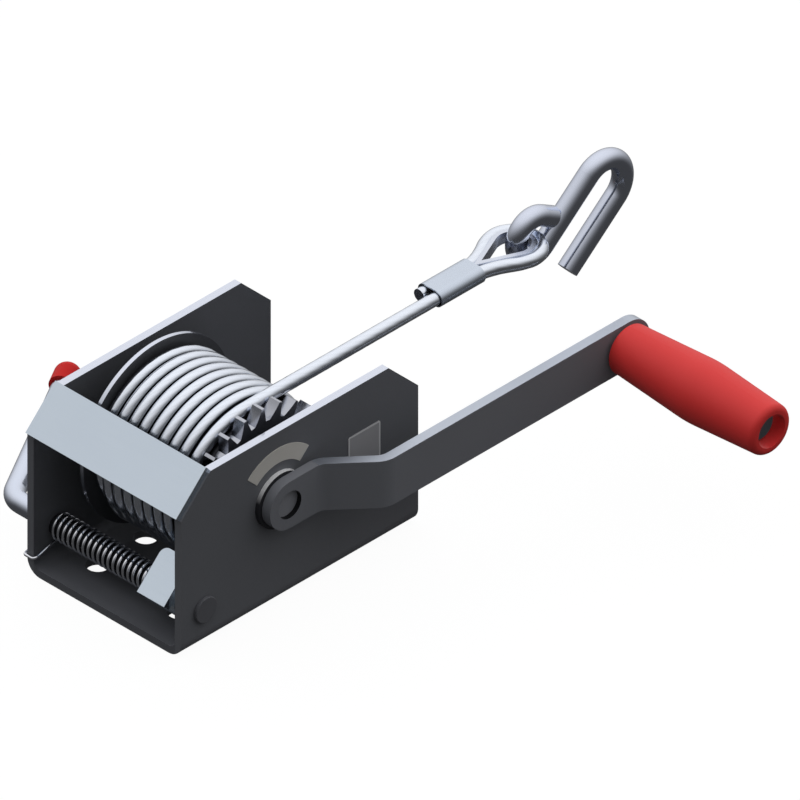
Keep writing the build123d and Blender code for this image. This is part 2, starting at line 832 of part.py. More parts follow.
# Pawl: a hub with a sloping flat on top and a nose under the toothed wheel
tilt = radians(pawl_tilt)
pawl_plane = Plane(
    origin=(pawl_left_x, pawl_y, pawl_z), x_dir=(0, cos(tilt), sin(tilt)), z_dir=(1, 0, 0)
)
flat_under = spring_r + spring_wire / 2 + clear
nose_face = wheel_phase + tooth_pitch * round((nose_angle - wheel_phase) / tooth_pitch)
face_tip = Vector(*drum_point(tip_r, nose_face))
face_root = Vector(*drum_point(root_r, nose_face - tooth_lean))
face_way = (face_root - face_tip).normalized()
face_out = Vector(-face_way.Y, face_way.X)
nose_top = face_tip + face_way * nose_grip + face_out * nose_face_gap
nose_heel = face_tip - face_way * nose_drop + face_out * nose_face_gap
nose_back = Vector(*drum_point(tip_r + nose_gap, nose_face - tooth_pitch + tooth_land))
with BuildPart() as pawl:
    with BuildSketch(pawl_plane):
        with BuildLine():
            Polyline(
                (-pawl_heel, flat_under),
                (pawl_reach, flat_under),
                (pawl_reach, pawl_top),
                (-pawl_heel, pawl_top),
                close=True,
            )
        make_face()
    extrude(amount=pawl_width)
    top_corners = pawl.edges().filter_by(Axis((0, 0, 0), (0, -sin(tilt), cos(tilt))))
    fillet(top_corners.sort_by(Axis((0, 0, 0), (0, cos(tilt), sin(tilt))))[-2:], pawl_corner)
    with BuildSketch(pawl_plane):
        with Locations((0, pawl_top / 2)):
            Rectangle(2 * pawl_rib, pawl_top)
    extrude(amount=pawl_width)
    with BuildSketch(Plane.YZ.offset(pawl_left_x)):
        with Locations((pawl_y, pawl_z)):
            Circle(pawl_hub_d / 2)
    extrude(amount=nose_x + nose_width - pawl_left_x)
    with BuildSketch(Plane.YZ.offset(nose_x)):
        with BuildLine():
            Polyline(
                (pawl_y + nose_root, pawl_z + nose_root),
                nose_back,
                nose_top + face_out * nose_land,
                nose_top,
                nose_heel,
                (pawl_y, pawl_z - pawl_hub_d / 2),
                close=True,
            )
        make_face()
    extrude(amount=nose_width)
    with BuildSketch(Plane.YZ.offset(pawl_left_x)):
        with Locations((pawl_y, pawl_z)):
            Circle(pawl_shaft_d / 2 + fit_gap)
    extrude(amount=2 * pawl_width, mode=Mode.SUBTRACT)
    for way, depth in ((1, pin_length), (-1, pin_length / 2 + fit_gap)):
        with BuildSketch(pin_plane):
            Circle(pin_d / 2 + fit_gap)
        extrude(amount=way * depth, mode=Mode.SUBTRACT)
    with BuildSketch(pawl_plane):
        with Locations((-spring_pawl_gap, spring_r)):
            Circle(spring_wire / 2 + clear)
    extrude(amount=spring_catch + clear, mode=Mode.SUBTRACT)
pawl.part.label = "pawl"

with BuildPart() as pawl_pin:
    with BuildSketch(pin_plane):
        Circle(pin_d / 2)
    extrude(amount=pin_length / 2, both=True)
pawl_pin.part.label = "pawl_pin"

# Torsion spring: hooked round the frame's front edge, its other end in the pawl
spring_left = -inner_x + spring_side_gap
spring_right = pawl_left_x - spring_side_gap
spring_end_angle = 90 + pawl_tilt + 360 * spring_turns
arcs = 2 * spring_turns
spring_knots = []
for step in range(arcs + 1):
    share = step / arcs
    angle = spring_start_angle - 360 + (spring_end_angle - spring_start_angle + 360) * share
    x = spring_left + (spring_right - spring_left) * share
    place, rising = turn_place((pawl_y, pawl_z), spring_r, angle, x)
    drift = 0 if step in (0, arcs) else (spring_right - spring_left) / (2 * pi * spring_r * spring_turns)
    spring_knots.append((place, (Vector(drift, 0, 0) + rising).normalized()))
spring_first, spring_first_way = spring_knots[0]
spring_last, spring_last_way = spring_knots[-1]
hook_x_out = -outer_x - spring_wire / 2 - spring_hook_out
hook_y_out = front_y - spring_wire / 2 - spring_hook_out
spring_catch_place = spring_last + spring_last_way * spring_pawl_gap
with BuildPart() as pawl_spring:
    with BuildLine() as spring_path:
        FilletPolyline(
            (hook_x_out, hook_y_out + spring_hook_back, spring_hook_z),
            (hook_x_out, hook_y_out, spring_hook_z),
            (spring_left, hook_y_out, spring_hook_z),
            spring_first,
            radius=spring_hook_bend,
        )
        wind(spring_knots)
        FilletPolyline(
            spring_last,
            spring_catch_place,
            spring_catch_place + Vector(spring_side_gap + spring_catch, 0, 0),
            radius=spring_wire,
        )
    spring_wire_path = spring_path.wires()[0]
    with BuildSketch(Plane(origin=spring_wire_path @ 0, z_dir=spring_wire_path % 0)):
        RegularPolygon(spring_wire / 2, spring_sides)
    sweep(path=spring_wire_path)
pawl_spring.part.label = "pawl_spring"
print("least gap between spring turns", least_gap(spring_wire_path, spring_wire, 2 * pi * spring_r))

pieces = (
    frame,
    tie_plate,
    left_bush,
    right_bush,
    drum_shaft,
    shaft_washer,
    shaft_ring,
    drum_barrel,
    left_spacer,
    right_spacer,
    drum_flange,
    ratchet_wheel,
    rope_core,
    rope_coil,
    rope_run,
    rope_tail,
    rope_clamp,
    clamp_screws,
    rope_eye,
    ferrule,
    thimble,
    hook,
    crank_washer,
    crank_arm,
    grip,
    grip_axle,
    grip_washer,
    grip_nut,
    pawl_shaft,
    lever_cap,
    pawl_cap,
    pawl_ring,
    pawl_spacer,
    pawl,
    pawl_pin,
    pawl_spring,
)
os.makedirs("parts", exist_ok=True)
for piece in pieces:
    export_step(piece.part, f"parts/{piece.part.label}.step")
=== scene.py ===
import logging
from dataclasses import dataclass
from enum import Enum
from typing import Any

import bpy
import numpy as np
from mathutils import Matrix, Vector


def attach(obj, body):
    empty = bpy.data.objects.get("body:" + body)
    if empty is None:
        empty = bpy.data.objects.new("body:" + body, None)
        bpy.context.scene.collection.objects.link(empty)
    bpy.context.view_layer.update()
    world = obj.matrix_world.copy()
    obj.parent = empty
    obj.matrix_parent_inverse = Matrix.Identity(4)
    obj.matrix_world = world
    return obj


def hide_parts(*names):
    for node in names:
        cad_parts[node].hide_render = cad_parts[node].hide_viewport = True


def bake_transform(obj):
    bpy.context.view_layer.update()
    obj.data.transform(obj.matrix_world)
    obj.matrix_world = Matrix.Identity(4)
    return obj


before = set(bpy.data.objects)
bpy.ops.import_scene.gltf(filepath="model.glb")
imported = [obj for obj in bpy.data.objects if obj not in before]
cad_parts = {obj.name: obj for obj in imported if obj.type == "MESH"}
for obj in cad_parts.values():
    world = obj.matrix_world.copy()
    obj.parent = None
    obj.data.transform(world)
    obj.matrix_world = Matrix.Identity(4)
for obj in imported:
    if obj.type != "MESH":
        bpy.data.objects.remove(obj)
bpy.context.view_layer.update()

MM = 0.001
LOG = logging.getLogger("towing_winch")
# The Mix node's sockets by number, because its colours and its numbers share their names.
MIX_SHARE = 0
MIX_COLOURS = (6, 7)
MIX_COLOUR_OUT = 2
MIX_NUMBERS = (2, 3)
MIX_NUMBER_OUT = 0
# Nearly all of a noise pattern lies between these values.
NOISE_RANGE = (0.3, 0.7)


# Small helpers


def linear(code: str) -> tuple[float, float, float, float]:
    """Turn an sRGB hex colour into the linear values that shaders take.

    Args:
        code: the colour as "#RRGGBB".

    Returns:
        Red, green, blue and alpha, where each channel c is ((c + 0.055) / 1.055) ** 2.4,
        or c / 12.92 for the darkest ones.
    """
    channels = np.array([int(code[i:i + 2], 16) for i in (1, 3, 5)]) / 255.0
    light = np.where(channels <= 0.04045, channels / 12.92, ((channels + 0.055) / 1.055) ** 2.4)
    return (*light.tolist(), 1.0)


def add_node(tree: bpy.types.NodeTree, kind: str, settings: dict[str, Any] | None = None,
             inputs: dict[str | int, Any] | None = None) -> bpy.types.Node:
    """Add one shader node, with its settings and with its inputs filled or linked.

    Args:
        tree: the node tree that takes the node.
        kind: the node's type without its "ShaderNode" beginning.
        settings: the node's own options.
        inputs: for each socket, by name or number, a value or another node's output.

    Returns:
        The new node.
    """
    node = tree.nodes.new("ShaderNode" + kind)
    for option, value in (settings or {}).items():
        setattr(node, option, value)
    for socket, value in (inputs or {}).items():
        if isinstance(value, bpy.types.NodeSocket):
            tree.links.new(value, node.inputs[socket])
        else:
            node.inputs[socket].default_value = value
    return node


def unit(vectors: np.ndarray) -> np.ndarray:
    """Give each vector the length one."""
    return vectors / np.linalg.norm(vectors, axis=-1, keepdims=True)


def spline_points(name: str, route: np.ndarray, steps: int) -> np.ndarray:
    """Read points along the NURBS line of order three that has the route as its control points.

    Args:
        name: a name for the line while it is read.
        route: the control points in millimetres, one row each.
        steps: how many points each stretch between control points gets.

    Returns:
        The points along the line in millimetres, one row each.
    """
    curve = bpy.data.curves.new(name, "CURVE")
    curve.dimensions = "3D"
    spline = curve.splines.new("NURBS")
    spline.points.add(len(route) - 1)
    spline.points.foreach_set("co", np.column_stack([route, np.ones(len(route))]).ravel())
    spline.order_u = 3
    spline.use_endpoint_u = True
    spline.resolution_u = steps
    holder = bpy.data.objects.new(name, curve)
    line = bpy.data.meshes.new_from_object(holder)
    points = np.empty(len(line.vertices) * 3)
    line.vertices.foreach_get("co", points)
    bpy.data.objects.remove(holder)
    bpy.data.curves.remove(curve)
    bpy.data.meshes.remove(line)
    return points.reshape(-1, 3)


def framed(path: np.ndarray, reference: np.ndarray) -> tuple[np.ndarray, np.ndarray]:
    """Give a section's two directions at every point of a path.

    The normal is the reference less its part along the tangent, made one long, and the
    binormal is the cross product of the tangent and the normal. The reference never points
    along the path.

    Args:
        path: the points, one row each.
        reference: the direction that the normals keep near, one for all points or one row each.

    Returns:
        The normal and the binormal at every point.
    """
    tangents = unit(np.gradient(path, axis=0))
    normals = unit(reference - tangents * np.sum(tangents * reference, axis=1, keepdims=True))
    return normals, np.cross(tangents, normals)


def lengths_along(path: np.ndarray) -> np.ndarray:
    """Give the length of a path up to each of its points."""
    return np.concatenate([[0.0], np.cumsum(np.linalg.norm(np.diff(path, axis=0), axis=1))])


def evenly(path: np.ndarray, step: float) -> np.ndarray:
    """Spread points evenly along a path.

    Each coordinate is read at equal lengths along the path, straight between its points.

    Args:
        path: the points in millimetres, close together.
        step: the largest distance between two new points.

    Returns:
        The new points, with the path's own ends.
    """
    along = lengths_along(path)
    wanted = np.linspace(0, along[-1], int(np.ceil(along[-1] / step)) + 1)
    return np.column_stack([np.interp(wanted, along, path[:, axis]) for axis in range(3)])


def grid_piece(name: str, grid: np.ndarray, closed_rows: bool = False,
               grease_and_shade: np.ndarray | None = None) -> bpy.types.Object:
    """Make a closed piece from a grid of points whose columns run round a section.

    The point (i, j) joins (i, j + 1), (i + 1, j + 1) and (i + 1, j) in one face. Columns wrap
    round. Rows wrap round too, or else one flat face closes each end.

    Args:
        name: the piece's name.
        grid: the points in millimetres, with the shape (rows, columns, 3).
        closed_rows: whether the last row joins the first.
        grease_and_shade: the share of dark colour at each point, from 0 to 1, for greased grooves and
            painted shade, kept as an attribute of the same name.

    Returns:
        The object, linked into the scene at the origin.
    """
    rows, columns = grid.shape[:2]
    first = np.arange(rows if closed_rows else rows - 1)[:, None]
    row_pair = (first * columns, (first + 1) % rows * columns)
    column = np.arange(columns)[None, :]
    column_pair = (column, (column + 1) % columns)
    quads = np.stack([row_pair[0] + column_pair[0], row_pair[0] + column_pair[1],
                      row_pair[1] + column_pair[1], row_pair[1] + column_pair[0]], axis=-1)
    faces = quads.reshape(-1, 4).tolist()
    sides = len(faces)
    if not closed_rows:
        rim = np.arange(columns)
        faces += [rim[::-1].tolist(), (rim + (rows - 1) * columns).tolist()]
    mesh = bpy.data.meshes.new(name)
    mesh.from_pydata((grid.reshape(-1, 3) * MM).tolist(), [], faces)
    mesh.polygons.foreach_set("use_smooth", np.arange(len(faces)) < sides)
    if grease_and_shade is not None:
        mesh.attributes.new("grease_and_shade", "FLOAT", "POINT").data.foreach_set("value", grease_and_shade.ravel())
    mesh.update()
    piece = bpy.data.objects.new(name, mesh)
    bpy.context.scene.collection.objects.link(piece)
    return piece


def swept(path: np.ndarray, normals: np.ndarray, binormals: np.ndarray, radius: np.ndarray,
          sides: int) -> np.ndarray:
    """Carry a round section along a path.

    A point is the path's point plus radius times (cos a times the normal plus sin a times the
    binormal), for the angles a round the section.

    Args:
        path: the points of the path, one row each.
        normals: the section's first direction at each point.
        binormals: its second direction at each point.
        radius: the radius at each point and angle, or one number.
        sides: how many points the section has.

    Returns:
        The grid of points, with the shape (rows, sides, 3).
    """
    angle = (np.arange(sides) * 2 * np.pi / sides)[None, :, None]
    around = np.cos(angle) * normals[:, None] + np.sin(angle) * binormals[:, None]
    return path[:, None] + np.broadcast_to(radius, around.shape[:2])[..., None] * around


def doubled_ends(rows: np.ndarray, share: float = 0.03) -> np.ndarray:
    """Add a row close to each end, so that the flat end faces leave the shading of the sides alone.

    Args:
        rows: what a piece has in each of its rows, such as points.
        share: how far each new row lies from the end towards its neighbour.

    Returns:
        The rows with two more, worked out straight between their neighbours.
    """
    first = rows[:1] + (rows[1:2] - rows[:1]) * share
    last = rows[-1:] + (rows[-2:-1] - rows[-1:]) * share
    return np.concatenate([rows[:1], first, rows[1:-1], last, rows[-1:]])


# Finishes


class Bare(Enum):
    """Which part of a coated piece shows its metal; on tops that face up, its light colour is a painted
    highlight.
    """

    PAINTED_HIGHLIGHT_TOP = "edges that face up above a height"
    RIM = "narrow sides away from a hole"
    SHANK = "everything up to a place along X"


@dataclass(frozen=True)
class Finish:
    """A surface finish: two close colours, a shine and a fine grain, all in real sizes.

    The colours drift into each other over cloud_mm. The grain has its own size along each
    axis, so a drawn or rolled surface is long along one of them, and it varies the
    roughness and stands out by relief_mm.
    """

    name: str
    colour: str
    shade: str
    metallic: float
    roughness: tuple[float, float]
    cloud_mm: float
    grain_mm: tuple[float, float, float]
    relief_mm: float
    specular: float = 0.5

    def material(self) -> bpy.types.Material:
        """Make the finish as a procedural material.

        Returns:
            The new material.
        """
        made = bpy.data.materials.new(self.name)
        made.use_nodes = True
        tree = made.node_tree
        shader = tree.nodes["Principled BSDF"]
        place = add_node(tree, "TexCoord").outputs["Object"]
        cloud = add_node(tree, "TexNoise", {}, {"Vector": place, "Scale": 1 / (self.cloud_mm * MM)})
        fine = [1 / (size * MM) for size in self.grain_mm]
        spread = add_node(tree, "VectorMath", {"operation": "MULTIPLY"}, {0: place, 1: fine})
        grain = add_node(tree, "TexNoise", {}, {"Vector": spread.outputs[0], "Scale": 1.0, "Detail": 1.0})
        colour = add_node(tree, "Mix", {"data_type": "RGBA"}, {
            MIX_SHARE: cloud.outputs["Fac"], MIX_COLOURS[0]: linear(self.colour),
            MIX_COLOURS[1]: linear(self.shade)})
        rough = add_node(tree, "MapRange", {}, {
            "Value": grain.outputs["Fac"], "From Min": NOISE_RANGE[0], "From Max": NOISE_RANGE[1],
            "To Min": self.roughness[0], "To Max": self.roughness[1]})
        bump = add_node(tree, "Bump", {}, {"Height": grain.outputs["Fac"], "Distance": self.relief_mm * MM})
        shader.inputs["Metallic"].default_value = self.metallic
        shader.inputs["Specular IOR Level"].default_value = self.specular
        tree.links.new(colour.outputs[MIX_COLOUR_OUT], shader.inputs["Base Color"])
        tree.links.new(rough.outputs[0], shader.inputs["Roughness"])
        tree.links.new(bump.outputs[0], shader.inputs["Normal"])
        self.add_detail(tree, shader)
        return made

    def add_detail(self, tree: bpy.types.NodeTree, shader: bpy.types.Node) -> None:
        """Add what only this finish has; a plain finish has nothing more."""


def laid_over(tree: bpy.types.NodeTree, shader: bpy.types.Node, socket: str, mask: bpy.types.NodeSocket,
              value: tuple[float, float, float, float] | float, blend: str = "MIX") -> None:
    """Lay a value over what already feeds a shader's socket, where a mask is one.

    Args:
        tree: the material's nodes.
        shader: the node whose socket changes.
        socket: the socket's name.
        mask: the share of the new value, from 0 to 1.
        value: a linear colour, or a number.
        blend: how a colour meets the one underneath.
    """
    under = shader.inputs[socket]
    kept = under.links[0].from_socket if under.is_linked else under.default_value
    if isinstance(value, tuple):
        settings = {"data_type": "RGBA", "blend_type": blend}
        (first, second), out = MIX_COLOURS, MIX_COLOUR_OUT
    else:
        settings = {"data_type": "FLOAT"}
        (first, second), out = MIX_NUMBERS, MIX_NUMBER_OUT
    mixed = add_node(tree, "Mix", settings, {MIX_SHARE: mask, first: kept, second: value})
    tree.links.new(mixed.outputs[out], under)


@dataclass(frozen=True)
class PaintedSteel(Finish):
    """Coated steel that shows its metal in part.

    Bare rims leave out what lies within middle_radius_mm of the axis along X through
    middle_mm, and the wall of a hole of hole_radius_mm there, if any, is painted dark as shade.
    Nearer than shade_inside_mm, if any, to the plane X = 0 the coat is darkened by inside_shade_tint as
    painted shade. Where tops that face up are bare, their light colour is a painted highlight.
    """

    bare: Bare = Bare.PAINTED_HIGHLIGHT_TOP
    bare_and_highlight_colour: str = "#DFE3EE"
    bare_roughness: float = 0.18
    bare_metallic: float = 1.0
    bare_limit_mm: float = 0.0
    edge_limit: float = 0.6
    edge_soft: float = 0.02
    middle_mm: tuple[float, float] = (-13.5, 57.3)
    middle_radius_mm: float = 10.0
    hole_radius_mm: float = 0.0
    hole_shade_colour: str = "#141517"
    shade_inside_mm: float = 0.0
    inside_shade_tint: str = "#E4E4E5"

    def add_detail(self, tree: bpy.types.NodeTree, shader: bpy.types.Node) -> None:
        """Show the metal on the part that the finish names.

        Args:
            tree: the material's nodes.
            shader: the material's shader.
        """
        coordinates = add_node(tree, "TexCoord")
        place = coordinates.outputs["Object"]
        facing = add_node(tree, "SeparateXYZ", {}, {0: coordinates.outputs["Normal"]})
        along = add_node(tree, "SeparateXYZ", {}, {0: place})
        # Painted shade: the coat is darkened near the middle of the channel, where the frame's inside lies
        # in shade.
        if self.shade_inside_mm:
            apart = add_node(tree, "Math", {"operation": "ABSOLUTE"}, {0: along.outputs["X"]})
            within = add_node(tree, "Math", {"operation": "LESS_THAN"}, {
                0: apart.outputs[0], 1: self.shade_inside_mm * MM})
            laid_over(tree, shader, "Base Color", within.outputs[0], linear(self.inside_shade_tint), "MULTIPLY")
        if self.bare is Bare.RIM:
            sideways = add_node(tree, "Math", {"operation": "ABSOLUTE"}, {0: facing.outputs["X"]})
            edge = add_node(tree, "Math", {"operation": "LESS_THAN"}, {
                0: sideways.outputs[0], 1: self.edge_limit})
            shift = [0.0, -self.middle_mm[0] * MM, -self.middle_mm[1] * MM]
            off_axis = add_node(tree, "VectorMath", {"operation": "MULTIPLY_ADD"}, {
                0: place, 1: [0.0, 1.0, 1.0], 2: shift})
            away = add_node(tree, "VectorMath", {"operation": "LENGTH"}, {0: off_axis.outputs[0]})
            where = add_node(tree, "Math", {"operation": "GREATER_THAN"}, {
                0: away.outputs["Value"], 1: self.middle_radius_mm * MM})
            mask = add_node(tree, "Math", {"operation": "MULTIPLY"}, {
                0: edge.outputs[0], 1: where.outputs[0]})
            # Painted shade: the wall of the hole round the shaft is coloured near black, as the shade in the
            # recess.
            if self.hole_radius_mm:
                near = add_node(tree, "Math", {"operation": "LESS_THAN"}, {
                    0: away.outputs["Value"], 1: self.hole_radius_mm * MM})
                wall = add_node(tree, "Math", {"operation": "MULTIPLY"}, {
                    0: edge.outputs[0], 1: near.outputs[0]})
                laid_over(tree, shader, "Base Color", wall.outputs[0], linear(self.hole_shade_colour))
        # Painted highlight: the sides that face up get a light colour, standing for the sky's highlight on
        # them.
        elif self.bare is Bare.PAINTED_HIGHLIGHT_TOP:
            edge = add_node(tree, "MapRange", {}, {
                "Value": facing.outputs["Z"], "From Min": self.edge_limit - self.edge_soft,
                "From Max": self.edge_limit + self.edge_soft})
            where = add_node(tree, "Math", {"operation": "GREATER_THAN"}, {
                0: along.outputs["Z"], 1: self.bare_limit_mm * MM})
            mask = add_node(tree, "Math", {"operation": "MULTIPLY"}, {
                0: edge.outputs[0], 1: where.outputs[0]})
        else:
            mask = add_node(tree, "Math", {"operation": "LESS_THAN"}, {
                0: along.outputs["X"], 1: self.bare_limit_mm * MM})
        laid_over(tree, shader, "Base Color", mask.outputs[0], linear(self.bare_and_highlight_colour))
        if self.bare_metallic != self.metallic:
            laid_over(tree, shader, "Metallic", mask.outputs[0], self.bare_metallic)
        laid_over(tree, shader, "Roughness", mask.outputs[0], self.bare_roughness)


@dataclass(frozen=True)
class StrandedWire(Finish):
    """Galvanised wire rope, darker in its greased strand grooves, and painted dark as shade where turns
    touch.
    """

    grease_and_shade: str = "#18191C"
    grease_and_shade_roughness: float = 0.5

    def add_detail(self, tree: bpy.types.NodeTree, shader: bpy.types.Node) -> None:
        """Lay the dark colour over the share of the surface that the piece's attribute gives: greased
        grooves, and painted shade where turns touch.

        Args:
            tree: the material's nodes.
            shader: the material's shader.
        """
        share = add_node(tree, "Attribute", {"attribute_name": "grease_and_shade"}).outputs["Fac"]
        laid_over(tree, shader, "Base Color", share, linear(self.grease_and_shade))
        laid_over(tree, shader, "Roughness", share, self.grease_and_shade_roughness)


@dataclass(frozen=True)
class PressedSleeve(Finish):
    """An oval sleeve pressed on two ropes side by side, painted dark inside as the shade in its mouth."""

    middle_mm: tuple[float, float] = (24.4, 95.7)
    half_span_mm: float = 3.45
    inner_mm: float = 3.6
    grease_and_shade: str = "#0C0C0E"
    grease_and_shade_roughness: float = 0.5

    def add_detail(self, tree: bpy.types.NodeTree, shader: bpy.types.Node) -> None:
        """Lay painted shade nearer than inner_mm to the straight line between both rope middles.

        The distance is the length of (max(|x - middle x| - half span, 0), z - middle z).

        Args:
            tree: the material's nodes.
            shader: the material's shader.
        """
        place = add_node(tree, "TexCoord").outputs["Object"]
        shift = [-self.middle_mm[0] * MM, 0.0, -self.middle_mm[1] * MM]
        centred = add_node(tree, "VectorMath", {"operation": "ADD"}, {0: place, 1: shift})
        apart = add_node(tree, "VectorMath", {"operation": "ABSOLUTE"}, {0: centred.outputs[0]})
        past = add_node(tree, "VectorMath", {"operation": "SUBTRACT"}, {
            0: apart.outputs[0], 1: [self.half_span_mm * MM, 0.0, 0.0]})
        clipped = add_node(tree, "VectorMath", {"operation": "MAXIMUM"}, {
            0: past.outputs[0], 1: [0.0, 0.0, 0.0]})
        across = add_node(tree, "VectorMath", {"operation": "MULTIPLY"}, {
            0: clipped.outputs[0], 1: [1.0, 0.0, 1.0]})
        away = add_node(tree, "VectorMath", {"operation": "LENGTH"}, {0: across.outputs[0]})
        inside = add_node(tree, "Math", {"operation": "LESS_THAN"}, {
            0: away.outputs["Value"], 1: self.inner_mm * MM})
        laid_over(tree, shader, "Base Color", inside.outputs[0], linear(self.grease_and_shade))
        laid_over(tree, shader, "Roughness", inside.outputs[0], self.grease_and_shade_roughness)


@dataclass(frozen=True)
class BorderedLabel(Finish):
    """A bare square label with a thin lighter line just inside its edge."""

    border: str = "#EDEDEE"
    middle_mm: tuple[float, float] = (40.2, 57.8)
    line_mm: tuple[float, float] = (9.1, 9.9)

    def add_detail(self, tree: bpy.types.NodeTree, shader: bpy.types.Node) -> None:
        """Draw the border where the larger of |y| and |z| from the middle is within line_mm.

        Args:
            tree: the material's nodes.
            shader: the material's shader.
        """
        place = add_node(tree, "TexCoord").outputs["Object"]
        shift = [0.0, -self.middle_mm[0] * MM, -self.middle_mm[1] * MM]
        centred = add_node(tree, "VectorMath", {"operation": "ADD"}, {0: place, 1: shift})
        apart = add_node(tree, "VectorMath", {"operation": "ABSOLUTE"}, {0: centred.outputs[0]})
        parts = add_node(tree, "SeparateXYZ", {}, {0: apart.outputs[0]})
        away = add_node(tree, "Math", {"operation": "MAXIMUM"}, {
            0: parts.outputs["Y"], 1: parts.outputs["Z"]})
        outside = add_node(tree, "Math", {"operation": "GREATER_THAN"}, {
            0: away.outputs[0], 1: self.line_mm[0] * MM})
        inside = add_node(tree, "Math", {"operation": "LESS_THAN"}, {
            0: away.outputs[0], 1: self.line_mm[1] * MM})
        mask = add_node(tree, "Math", {"operation": "MULTIPLY"}, {
            0: outside.outputs[0], 1: inside.outputs[0]})
        laid_over(tree, shader, "Base Color", mask.outputs[0], linear(self.border))


# Powder coat on bent steel plate: a satin charcoal grey with a faint orange peel, darkened inside
# the channel as painted shade, and bright metal on the top edges that face up as a painted highlight.
FRAME_PAINT = PaintedSteel(
    "charcoal_powder_coat", "#74767B", "#7A7C81", 0.0, (0.4, 0.52), 45.0, (1.1, 1.1, 1.1), 0.01, 0.3,
    bare=Bare.PAINTED_HIGHLIGHT_TOP, bare_limit_mm=92.0, shade_inside_mm=44.2)
# The same coat on a flat bar, whose narrow sheared sides are bare and a little dull past the hub, and whose
# hole wall round the shaft is painted near black as shade.
CRANK_PAINT = PaintedSteel(
    "charcoal_powder_coat_on_bar", "#86888E", "#8C8E94", 0.0, (0.4, 0.52), 40.0, (1.1, 1.1, 1.1), 0.01, 0.3,
    bare=Bare.RIM, bare_and_highlight_colour="#CDD3DD", bare_roughness=0.4, middle_radius_mm=22.0, hole_radius_mm=9.0)
# Blackened steel disc: a dark oxide face with a fine grain, and a turned rim that is bare.
BLACKENED_DISC = PaintedSteel(
    "blackened_steel_disc", "#434447", "#4B4C50", 0.0, (0.4, 0.5), 20.0, (0.8, 0.8, 0.8), 0.006, 0.3,
    bare=Bare.RIM, middle_radius_mm=44.0)
# Bright zinc plating on rolled steel: a cool light grey with fine rolling lines along X.
ZINC_PLATE = Finish(
    "bright_zinc_plate_on_rolled_steel", "#DAE5F0", "#DFEAF4", 1.0, (0.2, 0.27), 30.0,
    (25.0, 0.5, 0.5), 0.002)
# Zinc plating on a punched plate: cut marks run round it too finely to see, so they are
# drawn as a soft even grain.
CUT_PLATE = Finish(
    "zinc_plate_on_punched_steel", "#C3C6CE", "#CED1D8", 1.0, (0.26, 0.36), 20.0, (0.8, 0.8, 0.8), 0.006)
# The crank's washer: nearly white where it faces up, as a painted highlight that scatters the light,
# and dark on its lower side as painted shade.
PAINTED_LIGHT_WASHER = PaintedSteel(
    "washer_painted_highlight_and_shade", "#3A3B3F", "#303135", 0.0, (0.4, 0.5), 6.0, (0.6, 0.6, 0.6), 0.004, 0.3,
    bare=Bare.PAINTED_HIGHLIGHT_TOP, bare_and_highlight_colour="#FFFFFF", bare_roughness=0.3, bare_metallic=0.0,
    edge_limit=0.48, edge_soft=0.2)
# Hot-dip zinc on a pressed thimble: as pale as the rope, and smooth.
PRESSED_ZINC = Finish(
    "hot_dip_zinc_on_pressed_steel", "#E0E4EE", "#D8DCE6", 1.0, (0.24, 0.32), 10.0, (2.5, 2.5, 2.5), 0.002)
# Hardened steel wheel, punched and then oiled: light grey, with a soft mirror in its oil film.
OILED_WHEEL = Finish(
    "oiled_punched_steel_wheel", "#C2C4CB", "#B8BAC2", 1.0, (0.14, 0.22), 20.0, (0.8, 0.8, 0.8), 0.004)
# Bright-plated round rod, drawn and then bent: a soft mirror with a slight drawn grain.
BRIGHT_ROD = Finish(
    "bright_plated_drawn_steel_rod", "#DDE2EF", "#D8DDEA", 1.0, (0.12, 0.18), 25.0, (0.7, 6.0, 6.0), 0.002)
# Turned steel with a film of oil: a darker grey with fine turning marks along X.
OILED_STEEL = Finish(
    "oiled_turned_steel", "#A3A5AB", "#94969D", 1.0, (0.28, 0.4), 15.0, (0.45, 4.0, 4.0), 0.006)
# The drum shaft: the same oiled steel, with the crank's coat over its far end.
COATED_SHAFT = PaintedSteel(
    "charcoal_powder_coat_on_shaft_end", "#9A9CA2", "#A0A2A8", 0.0, (0.4, 0.52), 15.0,
    (0.8, 0.8, 0.8), 0.006, 0.3,
    bare=Bare.SHANK, bare_and_highlight_colour="#A3A5AB", bare_roughness=0.32, bare_limit_mm=50.4)
# The pawl shaft: bright-plated rod outside, and painted black as shade where it turns inside the frame, in
# the spring.
PAINTED_SHADE_SHAFT = PaintedSteel(
    "bright_plated_rod_with_painted_shade", "#1B1C1F", "#232428", 0.0, (0.4, 0.55), 9.0, (0.8, 4.0, 4.0), 0.004, 0.3,
    bare=Bare.SHANK, bare_and_highlight_colour="#DAE0ED", bare_roughness=0.15, bare_limit_mm=-47.9)
# Galvanised wire rope: a soft silver, with each wire too fine to show on its own.
WIRE_ROPE = StrandedWire(
    "galvanised_wire_rope", "#F2F7FF", "#ECF1FA", 1.0, (0.13, 0.21), 12.0, (0.7, 0.7, 0.7), 0.004)
# The layer underneath: the same rope, made dull and dark as painted shade, since it shows only in the gaps
# between outer turns.
PAINTED_SHADE_UNDER_ROPE = StrandedWire(
    "under_rope_painted_shade", "#4A4A50", "#3C3C41", 1.0, (0.45, 0.6), 9.0, (0.7, 0.7, 0.7), 0.01)
# Oil-tempered spring wire: smooth and bright, with sharp highlights between dark mirrored bands.
SPRING_WIRE = Finish(
    "oil_tempered_spring_wire", "#F4F5F9", "#ECEDF2", 1.0, (0.05, 0.09), 10.0, (0.6, 0.6, 0.6), 0.002)
